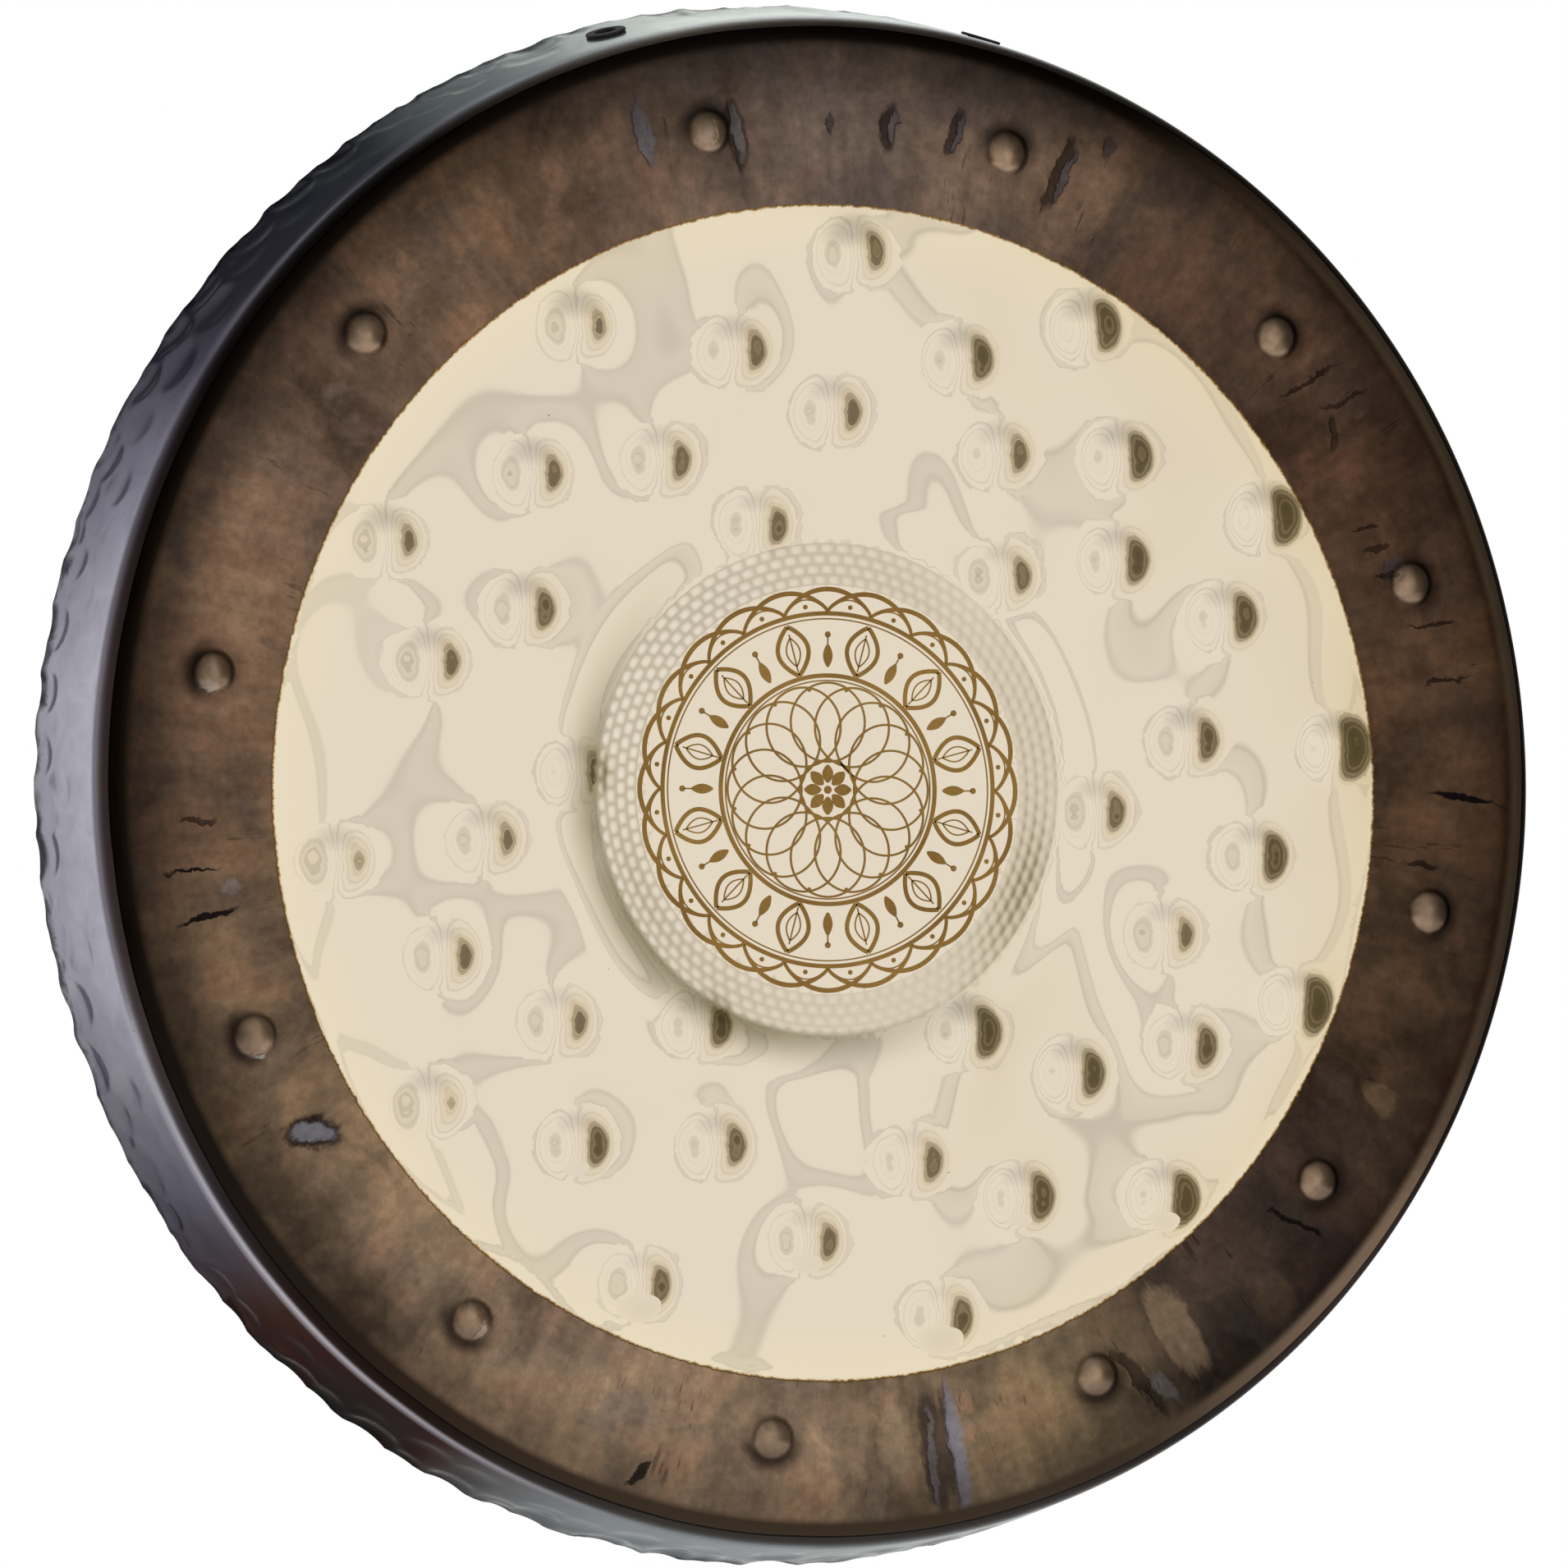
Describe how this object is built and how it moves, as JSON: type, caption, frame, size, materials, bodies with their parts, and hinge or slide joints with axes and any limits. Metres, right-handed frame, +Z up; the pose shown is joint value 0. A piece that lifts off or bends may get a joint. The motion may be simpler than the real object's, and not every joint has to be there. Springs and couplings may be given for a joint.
{
  "type": "flat gong",
  "caption": "Flat forged bronze gong with a polished bossed face, a raised beaded centre disc, a dark patinated band and a deep turned-back rim with two cord holes.",
  "frame": {"origin": "the point the gong hangs from, midway between the centres of its two cord holes", "axes": "-Y out of the struck face towards the player, +Z up, +X to the right of someone who faces the gong"},
  "size_m": [0.8119, 0.0893, 0.8116],
  "materials": {
    "bronze": "forged, face polished to a mirror, band and rim left dark",
    "rubber": "moulded matte"
  },
  "bodies": {
    "root": {"gong_plate": "bronze", "left_cord_grommet": "rubber", "right_cord_grommet": "rubber"}
  },
  "joints": []
}
